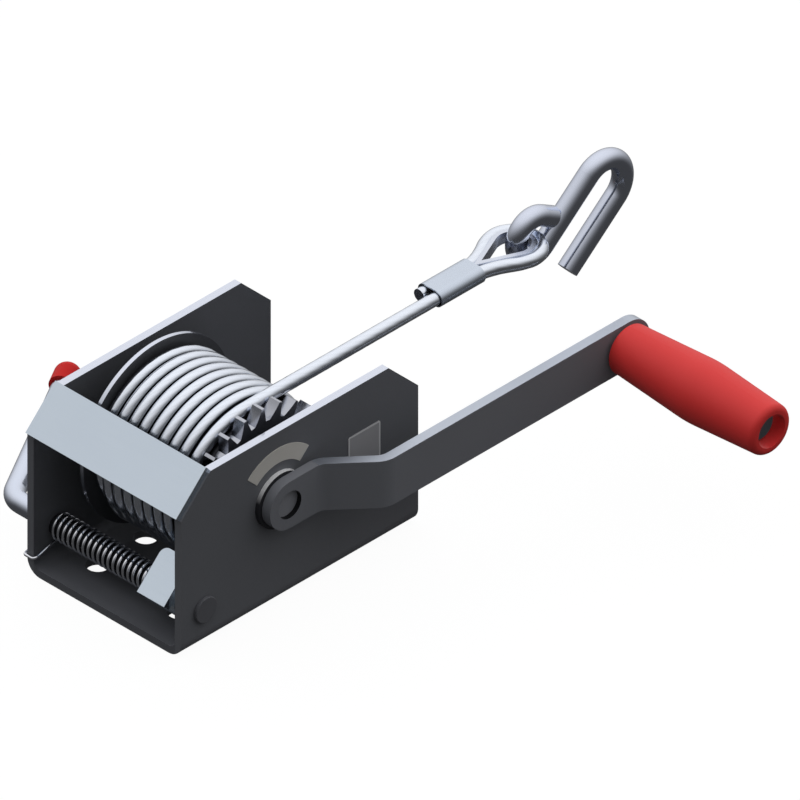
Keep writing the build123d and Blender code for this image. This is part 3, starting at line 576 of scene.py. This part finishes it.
# Pressed aluminium sleeve: pale and cool, with faint pressing marks along the rope, and painted dark inside
# its mouth as shade.
PRESSED_ALUMINIUM = PressedSleeve(
    "pressed_aluminium", "#D3DBE6", "#CED6E1", 1.0, (0.22, 0.28), 8.0, (1.2, 6.0, 1.2), 0.003)
# Sintered bronze bush: warm and slightly porous.
SINTERED_BRONZE = Finish(
    "sintered_bronze", "#A98852", "#977747", 1.0, (0.38, 0.5), 6.0, (0.4, 0.4, 0.4), 0.008)
# Moulded polypropylene: an even red with a soft sheen and a fine spark-eroded texture.
RED_PLASTIC = Finish(
    "moulded_red_polypropylene", "#FF4442", "#FA403E", 0.0, (0.45, 0.55), 30.0, (0.6, 0.6, 0.6), 0.008, 0.32)
# Dip-moulded vinyl: a deeper, slightly rubbery red.
DIPPED_VINYL = Finish(
    "dip_moulded_red_vinyl", "#E62A28", "#DD2421", 0.0, (0.4, 0.5), 10.0, (0.8, 0.8, 0.8), 0.01, 0.12)
# Black oxide on turned steel, worn thin: a dull mid grey that scatters most of the light.
BLACK_OXIDE = Finish(
    "black_oxide_on_turned_steel", "#717277", "#6A6B70", 0.0, (0.4, 0.5), 12.0, (0.5, 0.5, 0.5), 0.005, 0.3)
# Brushed aluminium foil label under a matt lacquer, left bare: a warm pale grey that scatters
# the light, with brush lines along Y.
BARE_FOIL = Finish(
    "brushed_aluminium_foil", "#EBE8E0", "#E2DFD7", 0.0, (0.45, 0.55), 10.0, (0.4, 8.0, 0.4), 0.004)
# Grey vinyl label, left bare inside a lighter border.
BORDERED_VINYL = BorderedLabel(
    "bordered_grey_vinyl", "#B2B2B5", "#BABABD", 0.0, (0.42, 0.52), 10.0, (0.6, 0.6, 0.6), 0.004, 0.3)


# Sub-assemblies


@dataclass
class Steelwork:
    """The solids that keep their own shape, with the finish that each of them wears."""

    painted: tuple[str, ...] = ("frame",)
    crank: tuple[str, ...] = ("crank_arm",)
    disc: tuple[str, ...] = ("drum_flange",)
    rolled: tuple[str, ...] = ("tie_plate", "pawl", "rope_clamp")
    punched: tuple[str, ...] = ("shaft_washer", "grip_washer", "grip_nut", "clamp_screws")
    washers: tuple[str, ...] = ("crank_washer",)
    pressed: tuple[str, ...] = ("thimble",)
    wheel: tuple[str, ...] = ("ratchet_wheel",)
    rods: tuple[str, ...] = ("hook",)
    lever: tuple[str, ...] = ("pawl_shaft",)
    axle: tuple[str, ...] = ("drum_shaft",)
    turned: tuple[str, ...] = (
        "shaft_ring", "drum_barrel", "left_spacer", "right_spacer", "grip_axle",
        "pawl_spacer", "pawl_pin")
    oxidised: tuple[str, ...] = ("pawl_cap", "pawl_ring")
    bushes: tuple[str, ...] = ("left_bush", "right_bush")
    sleeves: tuple[str, ...] = ("ferrule",)
    moulded: tuple[str, ...] = ("grip",)
    dipped: tuple[str, ...] = ("lever_cap",)

    def dress(self) -> None:
        """Give every listed solid its finish."""
        groups = (
            (self.painted, FRAME_PAINT), (self.crank, CRANK_PAINT), (self.disc, BLACKENED_DISC),
            (self.rolled, ZINC_PLATE), (self.punched, CUT_PLATE), (self.washers, PAINTED_LIGHT_WASHER),
            (self.pressed, PRESSED_ZINC), (self.wheel, OILED_WHEEL), (self.rods, BRIGHT_ROD),
            (self.lever, PAINTED_SHADE_SHAFT), (self.axle, COATED_SHAFT), (self.turned, OILED_STEEL),
            (self.oxidised, BLACK_OXIDE), (self.bushes, SINTERED_BRONZE), (self.sleeves, PRESSED_ALUMINIUM),
            (self.moulded, RED_PLASTIC), (self.dipped, DIPPED_VINYL))
        for names, finish in groups:
            made = finish.material()
            for name in names:
                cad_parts[name].material_slots[0].material = made
                LOG.info("%s wears %s", name, finish.name)
        # Mirrored in the rope and the hook, the grip would show as hard red dots.
        for name in self.moulded:
            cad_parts[name].visible_glossy = False


@dataclass
class WireRope:
    """The rope's own build, shared by every stretch of it: six strands laid in a right-hand helix."""

    diameter: float = 6.4
    strands: int = 6
    lay_length: float = 41.0
    strand_depth: float = 0.04
    strand_grease: float = 0.06
    wound_diameter: float = 6.2
    touch_shade_from: float = 0.76
    touch_shade_full: float = 0.88
    row_step: float = 1.1
    sides: int = 40

    def section(self, along: np.ndarray, wound: np.ndarray) -> tuple[np.ndarray, np.ndarray]:
        """Work out the rope's radius and its grease along its length and round its section.

        With a = angle - 2 pi length / lay, the rise is |cos(strands a / 2)|, which is 1 on each
        strand's crown and 0 in each groove. The radius is the outer radius less the strand
        depth times (1 - the rise), and the outer radius goes from the free rope's to the wound
        rope's, which is pulled thinner. Greased darkening lies in the grooves, and on wound rope
        painted shade lies on both sides where turns touch, where |sin angle| rises from touch_shade_from
        to touch_shade_full.

        Args:
            along: the length at each row, in millimetres.
            wound: how far each row is wound on the drum, from 0 to 1.

        Returns:
            The radius and the share of greased grooves and painted shade at each row and angle.
        """
        angle = np.arange(self.sides)[None, :] * 2 * np.pi / self.sides
        turned = angle - 2 * np.pi * along[:, None] / self.lay_length
        rise = np.abs(np.cos(self.strands * turned / 2))
        outer = (self.diameter + (self.wound_diameter - self.diameter) * wound[:, None]) / 2
        # Painted shade: wound turns are darkened on both sides, where they touch their neighbours.
        beside = np.abs(np.sin(angle)) - self.touch_shade_from
        touch_shade = np.clip(beside / (self.touch_shade_full - self.touch_shade_from), 0, 1)
        grease_and_shade = np.maximum(self.strand_grease * (1 - rise) ** 2, touch_shade * wound[:, None])
        return outer - self.strand_depth * (1 - rise), grease_and_shade

    def piece(self, name: str, path: np.ndarray, normals: np.ndarray, binormals: np.ndarray,
              start: float = 0.0, wound: np.ndarray | None = None) -> bpy.types.Object:
        """Lay a stretch of rope along a path.

        Args:
            name: the piece's name.
            path: the points that it follows.
            normals: the section's first direction at each point.
            binormals: its second direction.
            start: the length along the whole rope at which the stretch starts.
            wound: how far each point is wound on the drum, or none of them.

        Returns:
            The finished piece.
        """
        wound = np.zeros(len(path)) if wound is None else wound
        radius, grease_and_shade = self.section(lengths_along(path) + start, wound)
        grid = swept(path, normals, binormals, radius, self.sides)
        return grid_piece(name, doubled_ends(grid), grease_and_shade=doubled_ends(grease_and_shade))


@dataclass
class WoundDrum:
    """The rope on the drum: the outer turns, the layer underneath and the clamped end."""

    rope: WireRope
    axis_y: float = -13.5
    axis_z: float = 57.3
    run_radius: float = 38.45
    layer_radius: float = 39.3
    settles_over: float = 0.6
    last_x: float = 27.85
    pitch: float = 6.34
    turns: float = 8.6
    first_x: float = -24.3
    lead_out: float = 6.3
    lead_rows: int = 12
    loosens_over: float = 45.0
    core_ends: tuple[float, float] = (-27.2, 31.7)
    core_bore: float = 16.05
    core_outside: float = 34.95
    core_rows: int = 180
    core_columns: int = 150
    groove_floor: float = 0.2
    tail_x: tuple[float, float] = (-27.8, -34.6)
    tail_y: float = 14.5
    tail_heights: tuple[float, float, float] = (43.3, 56.5, 77.6)
    tail_steps: int = 24

    def coil_path(self) -> tuple[np.ndarray, np.ndarray, np.ndarray]:
        """Work out the outer layer's helix and the directions of the rope's section on it.

        At a share s from 0 to 1 the angle falls from 90 degrees plus all the turns to 90 degrees
        and X rises evenly to its last place. Where the flange stops X at its first place, the
        rope has sunk until it just touches the next turn: with g the distance along X to that
        turn, the radius falls by the root of (rope diameter squared minus g squared). Over the
        last part of a turn the radius eases by a cosine to the free run's, and a straight
        lead-out along Y follows, square to the axis.

        Returns:
            The path, the outward normals and the binormals.
        """
        around = 2 * np.pi * self.layer_radius
        count = int(self.turns * around / self.rope.row_step)
        share = np.linspace(0, 1, count)
        angle = np.pi / 2 + 2 * np.pi * self.turns * (1 - share)
        free_x = self.last_x - self.pitch * self.turns * (1 - share)
        x = np.maximum(free_x, self.first_x)
        next_gap = free_x + self.pitch - x
        sunk = np.sqrt(np.clip(self.rope.wound_diameter ** 2 - next_gap ** 2, 0, None))
        settled = np.clip(1 - self.turns * (1 - share) / self.settles_over, 0, 1)
        ease = (1 - np.cos(np.pi * settled)) / 2
        radius = self.layer_radius - sunk - (self.layer_radius - self.run_radius) * ease
        outward = np.column_stack([np.zeros(count), np.cos(angle), np.sin(angle)])
        path = outward * radius[:, None] + np.column_stack(
            [x, np.full(count, self.axis_y), np.full(count, self.axis_z)])
        lead = np.linspace(0, self.lead_out, self.lead_rows)[1:]
        path = np.concatenate([path, path[-1] + lead[:, None] * np.array((0, 1, 0))])
        outward = np.concatenate([outward, np.tile(outward[-1], (len(lead), 1))])
        return path, *framed(path, outward)

    def core_grid(self) -> np.ndarray:
        """Work out the layer underneath as one ring with a ridge for each of its turns.

        Over X and the angle a round the axis, d is the distance along X from the nearest turn's
        middle, which moves by one pitch for each turn of a, and the radius is the turns' middle
        radius plus the root of (rope radius squared minus d squared), or of groove_floor where
        that is less. The ring's two flat ends and its bore close it.

        Returns:
            The grid of points, with rows round the axis and columns round the ring's section.
        """
        left, right = self.core_ends
        half = self.rope.diameter / 2
        angle = np.linspace(0, 2 * np.pi, self.core_rows, endpoint=False)[:, None]
        x = np.linspace(left, right, self.core_columns)[None, :]
        drift = x + self.pitch * angle / (2 * np.pi)
        apart = (drift + self.pitch / 2) % self.pitch - self.pitch / 2
        rise = np.sqrt(np.clip(half ** 2 - apart ** 2, self.groove_floor, None))
        ridge = self.core_outside - half + rise
        bore = np.full((len(angle), 1), self.core_bore)
        radius = np.concatenate([bore, ridge, bore], axis=1)
        along = np.concatenate([[left], x[0], [right]])
        return np.stack([np.broadcast_to(along, radius.shape), self.axis_y + radius * np.cos(angle),
                         self.axis_z + radius * np.sin(angle)], axis=-1)

    def tail_route(self) -> np.ndarray:
        """Give the control points of the rope's end, out through the flange and up to its clamp.

        Returns:
            The control points in millimetres, one row each.
        """
        inside, outside = self.tail_x
        low, middle, top = self.tail_heights
        places = [(inside, low), (outside, low), (outside, middle), (outside, top)]
        return np.array([(x, self.tail_y, z) for x, z in places])

    def build(self, dressing: bpy.types.Material) -> None:
        """Make the rope on the drum and put it in the solids' places.

        Args:
            dressing: the material of the outer rope; the layer underneath has its own, dark as painted
                shade.
        """
        path, normals, binormals = self.coil_path()
        along = lengths_along(path)
        wound = np.clip((along[-1] - self.lead_out - along) / self.loosens_over, 0, 1)
        coil = self.rope.piece("wound_rope", path, normals, binormals, -along[-1], wound)
        core = grid_piece("under_layer", self.core_grid(), closed_rows=True)
        tail_path = spline_points("tail_line", self.tail_route(), self.tail_steps)
        tail = self.rope.piece("clamped_rope_end", tail_path, *framed(tail_path, np.array((0, 1, 0))))
        places = ((coil, "rope_coil", "frame", dressing),
                  (core, "rope_core", "drum", PAINTED_SHADE_UNDER_ROPE.material()),
                  (tail, "rope_tail", "drum", dressing))
        for piece, node, body, wears in places:
            piece.data.materials.append(wears)
            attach(piece, body)
            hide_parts(node)
            LOG.info("%s stands for %s", piece.name, node)


@dataclass
class TowRope:
    """The free stretch of rope: straight off the drum, round the thimble and back into the ferrule."""

    rope: WireRope
    middle_x: float = 24.4
    height: float = 95.75
    steps: int = 120

    def route(self) -> np.ndarray:
        """Give the rope's control points, each by its distance across from the eye's middle and its Y.

        Returns:
            The control points in millimetres, one row each.
        """
        flat = np.array([
            (3.45, -7.2), (3.45, 121.1), (3.45, 137.2), (14.75, 156.5), (7.25, 169.4),
            (-7.25, 169.4), (-14.75, 156.5), (-3.45, 137.2), (-3.45, 121.1), (-3.45, 101.5)])
        level = np.full(len(flat), self.height)
        return np.column_stack([flat[:, 0] + self.middle_x, flat[:, 1], level])

    def build(self, dressing: bpy.types.Material) -> None:
        """Args:
            dressing: the rope's material.
        """
        path = evenly(spline_points("tow_line", self.route(), self.steps), self.rope.row_step)
        piece = self.rope.piece("tow_rope", path, *framed(path, np.array((0, 0, 1))))
        piece.data.materials.append(dressing)
        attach(piece, "frame")
        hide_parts("rope_run", "rope_eye")
        LOG.info("%s is %.1f mm long", piece.name, lengths_along(path)[-1])


@dataclass
class PawlSpring:
    """The torsion spring on the pawl shaft, hooked round the frame and caught in the pawl."""

    axis_y: float = -59.6
    axis_z: float = 20.5
    mean_radius: float = 6.0
    wire: float = 1.5
    left_x: float = -42.5
    right_x: float = 18.5
    start_angle: float = -74.0
    end_angle: float = 6975.0
    points_per_turn: int = 12
    steps: int = 8
    sides: int = 14
    leg: tuple[tuple[float, float, float], ...] = (
        (-49.25, -71.3, 9.6), (-49.25, -75.2, 9.6), (-46.0, -75.2, 9.6), (-42.5, -75.2, 9.6),
        (-42.5, -69.5, 11.3))
    catch: tuple[tuple[float, float, float], ...] = (
        (18.9, -65.2, 23.4), (21.0, -65.4, 23.19), (24.5, -65.4, 23.19))

    def route(self) -> np.ndarray:
        """Work out the spring's control points: the hooked leg, the turns and the caught end.

        The turns' points lie on a helix whose radius is the mean radius over cos(pi / points per
        turn), so that the smooth line, which touches the middle of every side, has the mean one.

        Returns:
            The control points in millimetres, one row each.
        """
        turns = (self.end_angle - self.start_angle) / 360
        share = np.linspace(0, 1, int(turns * self.points_per_turn) + 1)
        angle = np.radians(self.start_angle + (self.end_angle - self.start_angle) * share)
        radius = self.mean_radius / np.cos(np.pi / self.points_per_turn)
        helix = np.column_stack([
            self.left_x + (self.right_x - self.left_x) * share,
            self.axis_y + radius * np.cos(angle), self.axis_z + radius * np.sin(angle)])
        return np.concatenate([np.array(self.leg), helix, np.array(self.catch)])

    def build(self) -> None:
        """Make the spring in the place of its solid, twisting evenly from the frame to the pawl."""
        path = spline_points("spring_line", self.route(), self.steps)
        normals, binormals = framed(path, np.array((1, 0, -1)))
        grid = swept(path, normals, binormals, np.array(self.wire / 2), self.sides)
        piece = grid_piece("wound_spring", grid)
        piece.data.materials.append(SPRING_WIRE.material())
        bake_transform(piece)
        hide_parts("pawl_spring")
        LOG.info("%s stands for pawl_spring", piece.name)


@dataclass
class SidePlateLabels:
    """The two label places on the crank side of the frame, both left bare."""

    face_x: float = 48.0
    thickness: float = 0.25
    arc_middle: tuple[float, float] = (-13.5, 57.3)
    arc_radii: tuple[float, float] = (19.0, 27.0)
    arc_half_angle: float = 45.0
    square_middle: tuple[float, float] = (40.2, 57.8)
    square_side: float = 20.0
    corner: float = 1.5
    edge_height: float = 0.8
    edge_draw: float = 0.99
    arc_points: int = 49
    corner_points: int = 7

    def raised(self, name: str, outline: np.ndarray) -> bpy.types.Object:
        """Raise a flat outline off the side plate, with a softened upper edge.

        The rows are the outline on the plate, at the share edge_height of the thickness, and
        drawn in towards its middle by the factor edge_draw at the whole thickness.

        Args:
            name: the piece's name.
            outline: the Y and Z of the outline's points, anticlockwise seen from the crank.

        Returns:
            The label as a thin closed piece.
        """
        middle = outline.mean(axis=0)
        drawn_in = middle + (outline - middle) * self.edge_draw
        rows = [(self.face_x, outline), (self.face_x + self.edge_height * self.thickness, outline),
                (self.face_x + self.thickness, drawn_in)]
        grid = np.stack([np.column_stack([np.full(len(flat), x), flat]) for x, flat in rows])
        return grid_piece(name, grid)

    def arc_outline(self) -> np.ndarray:
        """Work out a band about straight up: each radius times (cos a, sin a), out and back.

        Returns:
            The Y and Z of the outline's points.
        """
        half = np.radians(self.arc_half_angle)
        angle = np.linspace(np.pi / 2 - half, np.pi / 2 + half, self.arc_points)
        outer = self.arc_radii[1] * np.column_stack([np.cos(angle), np.sin(angle)])
        inner = self.arc_radii[0] * np.column_stack([np.cos(angle[::-1]), np.sin(angle[::-1])])
        return np.concatenate([outer, inner]) + np.array(self.arc_middle)

    def square_outline(self) -> np.ndarray:
        """Work out a square with rounded corners, each a quarter circle round its own middle.

        Returns:
            The Y and Z of the outline's points.
        """
        reach = self.square_side / 2 - self.corner
        middles = np.array([(1, 1), (-1, 1), (-1, -1), (1, -1)]) * reach
        quarter = np.linspace(0, np.pi / 2, self.corner_points)
        angle = (quarter[None, :] + np.arange(len(middles))[:, None] * np.pi / 2).ravel()
        round_part = self.corner * np.column_stack([np.cos(angle), np.sin(angle)])
        return np.repeat(middles, self.corner_points, axis=0) + round_part + np.array(self.square_middle)

    def build(self) -> None:
        """Make both labels on the frame's crank side."""
        wanted = (("arc_label", self.arc_outline(), BARE_FOIL, "ferrule_metal"),
                  ("square_label", self.square_outline(), BORDERED_VINYL, "frame_paint"))
        for name, outline, finish, slot in wanted:
            piece = self.raised(name, outline)
            piece.data.materials.append(finish.material())
            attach(piece, "frame")
            LOG.info("%s wears %s", name, finish.name)


@dataclass
class Studio:
    """A pale floor, a soft sky that brightens towards one side, and the camera.

    view_width is 800 pixels of the picture at 2266 pixels per metre. sky_levels gives the
    sky's brightness against (t + 1) / 2, where t is the dot product of a direction and the
    bright one.
    """

    view_width: float = 800 / 2266
    looks_at: tuple[float, float, float] = (0.0328, 0.0778, 0.057)
    looks_along: tuple[float, float, float] = (-1.0, 1.0, -1.0)
    camera_distance: float = 1.2
    floor_z: float = -0.0004
    floor_half: float = 1.5
    floor_points: int = 9
    floor_colour: str = "#4A4A4A"
    floor_glow: float = 0.96
    white: str = "#FFFFFF"
    bright_way: tuple[float, float, float] = (-0.35, 0.35, 0.87)
    sky_levels: tuple[tuple[float, float], ...] = (
        (0.25, 0.06), (0.357, 0.068), (0.457, 0.14), (0.56, 0.29), (0.667, 0.51), (0.76, 0.72),
        (0.87, 0.90), (1.0, 1.0))
    sky_tint: tuple[float, float, float] = (0.975, 0.98, 1.0)

    def place_camera(self) -> None:
        """Set the parallel-view camera at the photograph's angle and frame.

        Its right is level and square to the look, and its up is the cross product of the two.
        """
        look = Vector(self.looks_along).normalized()
        right = Vector((look.y, -look.x, 0)).normalized()
        up = right.cross(look)
        data = bpy.data.cameras.new("photo_camera")
        data.type = "ORTHO"
        data.ortho_scale = self.view_width
        camera = bpy.data.objects.new("photo_camera", data)
        bpy.context.scene.collection.objects.link(camera)
        turn = Matrix((right, up, -look)).transposed().to_4x4()
        stands_at = Vector(self.looks_at) - look * self.camera_distance
        camera.matrix_world = Matrix.Translation(stands_at) @ turn
        bpy.context.scene.camera = camera

    def lay_floor(self) -> None:
        """Lay the floor as one flat grid, seen by the camera and left out of reflections.

        Its points are (x, y, floor_z) for evenly spaced x and y.
        """
        side = self.floor_points
        row = np.linspace(-self.floor_half, self.floor_half, side)
        x, y = np.meshgrid(row, row, indexing="ij")
        points = np.stack([x, y, np.full_like(x, self.floor_z)], axis=-1).reshape(-1, 3)
        cell = np.arange(side - 1)
        corner = (cell[:, None] * side + cell[None, :]).ravel()
        faces = np.stack([corner, corner + side, corner + side + 1, corner + 1], axis=-1)
        mesh = bpy.data.meshes.new("floor")
        mesh.from_pydata(points.tolist(), [], faces.tolist())
        floor = bpy.data.objects.new("floor", mesh)
        bpy.context.scene.collection.objects.link(floor)
        # White studio paper: lit evenly to just under white, so that only a faint shade shows on it.
        paper = bpy.data.materials.new("white_studio_paper")
        paper.use_nodes = True
        shader = paper.node_tree.nodes["Principled BSDF"]
        shader.inputs["Base Color"].default_value = linear(self.floor_colour)
        shader.inputs["Roughness"].default_value = 1.0
        shader.inputs["Specular IOR Level"].default_value = 0.0
        shader.inputs["Emission Color"].default_value = linear(self.white)
        shader.inputs["Emission Strength"].default_value = self.floor_glow
        mesh.materials.append(paper)
        floor.visible_glossy = False
        floor.visible_diffuse = False

    def light(self) -> None:
        """Light the scene with the sky alone, which leaves soft shade and no hard highlight.

        Seen directly, past the floor's edge, the sky is as white as the floor.
        """
        world = bpy.data.worlds.new("studio_sky")
        bpy.context.scene.world = world
        world.use_nodes = True
        tree = world.node_tree
        direction = add_node(tree, "TexCoord").outputs["Generated"]
        toward = add_node(tree, "VectorMath", {"operation": "DOT_PRODUCT"}, {
            0: direction, 1: Vector(self.bright_way).normalized()})
        share = add_node(tree, "MapRange", {}, {
            "Value": toward.outputs["Value"], "From Min": -1.0, "From Max": 1.0})
        ramp = add_node(tree, "ValToRGB", {}, {"Fac": share.outputs[0]})
        stops = ramp.color_ramp.elements
        # The new stops are moved to their own places below.
        while len(stops) < len(self.sky_levels):
            stops.new(0.5)
        for stop, (position, level) in zip(stops, self.sky_levels):
            stop.position = position
            stop.color = (*(level * tint for tint in self.sky_tint), 1.0)
        backdrop = tree.nodes["Background"]
        tree.links.new(ramp.outputs["Color"], backdrop.inputs["Color"])
        seen = add_node(tree, "LightPath").outputs["Is Camera Ray"]
        laid_over(tree, backdrop, "Color", seen, linear(self.white))

    def build(self) -> None:
        """Set up the camera, the floor and the light."""
        self.place_camera()
        self.lay_floor()
        self.light()
        bpy.context.scene.view_settings.view_transform = "Standard"
        LOG.info("the studio is set")


def main() -> None:
    """Build the winch's looks in order."""
    logging.basicConfig(level=logging.INFO, format="%(name)s: %(message)s")
    studio = Studio()
    studio.build()
    rope = WireRope()
    dressing = WIRE_ROPE.material()
    TowRope(rope).build(dressing)
    WoundDrum(rope).build(dressing)
    PawlSpring().build()
    SidePlateLabels().build()
    Steelwork().dress()


if __name__ == "__main__":
    main()
